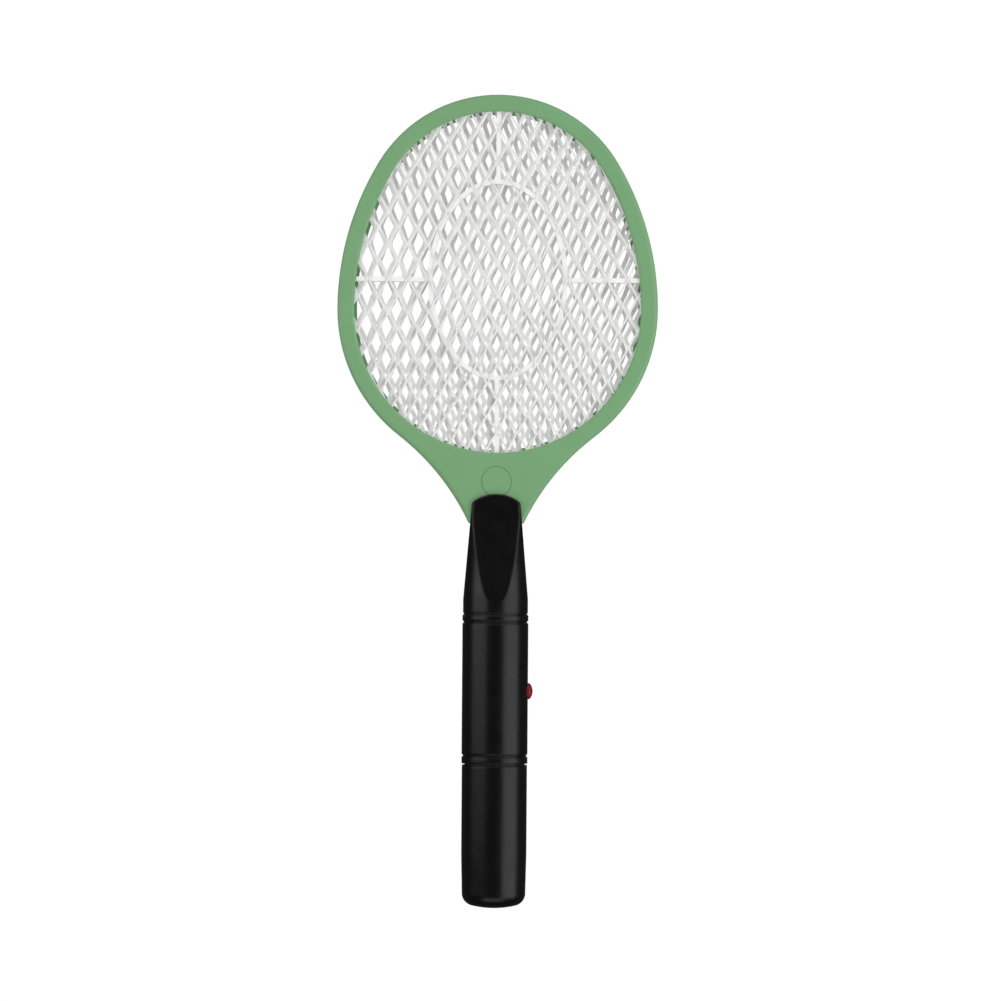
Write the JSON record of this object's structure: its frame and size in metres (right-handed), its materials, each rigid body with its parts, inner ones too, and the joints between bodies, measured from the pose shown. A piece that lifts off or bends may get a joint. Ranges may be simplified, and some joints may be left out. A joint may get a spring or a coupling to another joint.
{
  "type": "electric fly swatter",
  "caption": "Racket-shaped electric fly swatter with layered wire meshes in an egg-shaped ring and a round battery handle with a side button.",
  "frame": {"origin": "on the handle's axis, half-way along the plain grip between the button and the battery cover", "axes": "+Z along the handle towards the head, -Y is the front, +X is the side with the button"},
  "size_m": [0.1816, 0.0374, 0.461],
  "materials": {
    "green_plastic": "moulded, matte",
    "white_plastic": "moulded, matte",
    "mesh_metal": "expanded sheet, satin",
    "screw_steel": "zinc plated",
    "contact_metal": "nickel plated",
    "black_plastic": "moulded, satin",
    "red_plastic": "moulded, satin",
    "tray_plastic": "moulded, matte",
    "board": "phenolic paper laminate",
    "ferrite": "sintered, dull",
    "winding_tape": "polyester tape",
    "film_capacitor": "epoxy dipped",
    "disc_ceramic": "epoxy dipped",
    "resistor_lacquer": "lacquered",
    "battery_can": "sleeved steel can",
    "red_insulation": "PVC insulation",
    "black_insulation": "PVC insulation"
  },
  "bodies": {
    "racket": {"frame_front": "green_plastic", "frame_back": "green_plastic", "spacer_front": "white_plastic", "spacer_back": "white_plastic", "mesh_front": "mesh_metal", "mesh_centre": "mesh_metal", "mesh_back": "mesh_metal", "frame_screws": "screw_steel", "hv_terminal": "contact_metal", "ground_terminal": "contact_metal", "handle_front_shell": "black_plastic", "handle_back_shell": "black_plastic", "handle_screws": "screw_steel", "switch_body": "tray_plastic", "button_spring": "contact_metal", "circuit_board": "board", "transformer_core": "ferrite", "transformer_bobbin": "tray_plastic", "transformer_winding": "winding_tape", "hv_capacitor": "film_capacitor", "multiplier_capacitors": "disc_ceramic", "rectifier_diodes": "tray_plastic", "resistors": "resistor_lacquer", "transistor": "tray_plastic", "battery_holder": "tray_plastic", "battery_1": "battery_can", "battery_2": "battery_can", "positive_contact": "contact_metal", "negative_contact": "contact_metal", "negative_spring": "contact_metal", "bridge_contact": "contact_metal", "bridge_spring": "contact_metal", "battery_wire_positive": "red_insulation", "battery_wire_negative": "black_insulation", "hv_wire": "red_insulation", "ground_wire": "black_insulation"},
    "button": {"push_button": "red_plastic", "switch_plunger": "tray_plastic"},
    "cover": {"battery_cover": "black_plastic"}
  },
  "joints": [
    {"name": "button_press", "type": "slide", "parent": "racket", "child": "button", "axis": [-1, 0, 0], "range_m": [0, 0.0012], "stiffness_N_per_m": 400, "springref_m": -0.001, "deforming": ["button_spring"]},
    {"name": "battery_cover_slide", "type": "slide", "parent": "racket", "child": "cover", "axis": [0, 0, -1], "range_m": [0, 0.08]}
  ]
}
